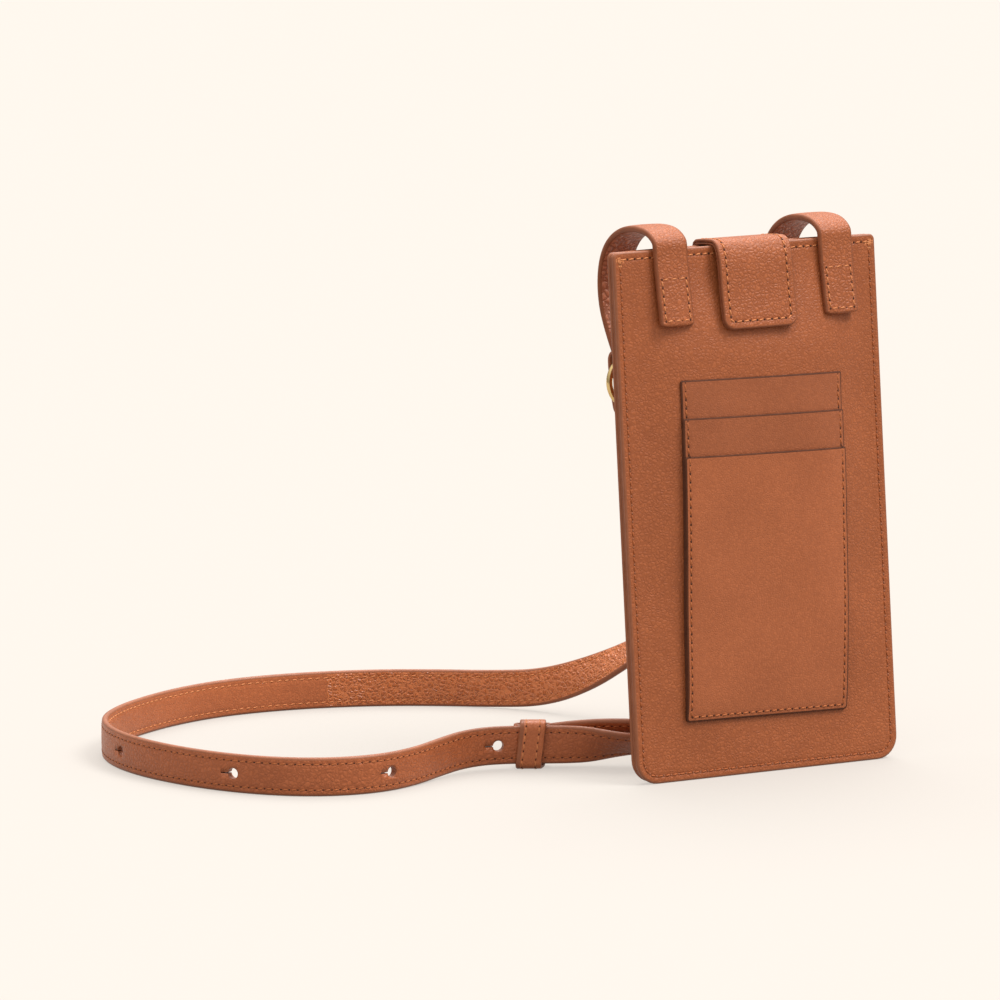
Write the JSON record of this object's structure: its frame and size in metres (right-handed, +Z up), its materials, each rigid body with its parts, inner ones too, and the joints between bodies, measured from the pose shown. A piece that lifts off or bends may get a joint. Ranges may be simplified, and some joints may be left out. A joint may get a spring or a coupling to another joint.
{
  "type": "phone pouch",
  "caption": "Slim pebbled leather phone pouch with card slots, a magnetic closing flap, arched strap tabs and a shoulder strap that lies in a loop behind it.",
  "frame": {"origin": "middle of the lower edge of the front panel, on the floor the pouch stands on", "axes": "+X to the right seen from the front, +Y from the card pocket to the back, +Z up"},
  "size_m": [0.2449, 0.1872, 0.1883],
  "materials": {
    "leather_pebbled": "pebbled, semi-matte",
    "leather_smooth": "smooth, semi-matte",
    "lining": "suede",
    "brass": "polished",
    "magnet": "plated"
  },
  "bodies": {
    "pouch": {"front_panel": "leather_pebbled", "back_panel": "leather_pebbled", "front_lining": "lining", "back_lining": "lining", "card_slot_upper": "leather_smooth", "card_slot_middle": "leather_smooth", "card_slot_front": "leather_smooth", "flap_anchor": "leather_pebbled", "front_magnet": "magnet", "strap_tab_left": "leather_pebbled", "strap_tab_right": "leather_pebbled", "strap_short_face": "leather_pebbled", "strap_short_lining": "leather_smooth", "strap_long_face": "leather_pebbled", "strap_long_lining_lower": "leather_smooth", "strap_long_lining_upper": "leather_pebbled", "stud": "brass", "stud_screw": "brass"},
    "flap": {"closing_flap": "leather_pebbled", "flap_lining": "lining", "flap_magnet": "magnet"},
    "ring_left": {"ring_left": "brass"},
    "ring_right": {"ring_right": "brass"},
    "keeper": {"keeper": "leather_pebbled"}
  },
  "joints": [
    {"name": "flap_hinge", "type": "hinge", "parent": "pouch", "child": "flap", "pos_m": [0.0012, 0.0295, 0.1742], "axis": [-1, 0, 0], "range_deg": [0, 150]},
    {"name": "ring_left_swing", "type": "hinge", "parent": "pouch", "child": "ring_left", "pos_m": [-0.0308, 0.04246, 0.14068], "axis": [1, 0, 0], "range_deg": [-2, 2]},
    {"name": "ring_right_swing", "type": "hinge", "parent": "pouch", "child": "ring_right", "pos_m": [0.0353, 0.04246, 0.14068], "axis": [1, 0, 0], "range_deg": [-2, 2]},
    {"name": "keeper_slide", "type": "slide", "parent": "pouch", "child": "keeper", "axis": [0.8771, -0.4803, 0], "range_m": [-0.0004, 0.0004]}
  ]
}
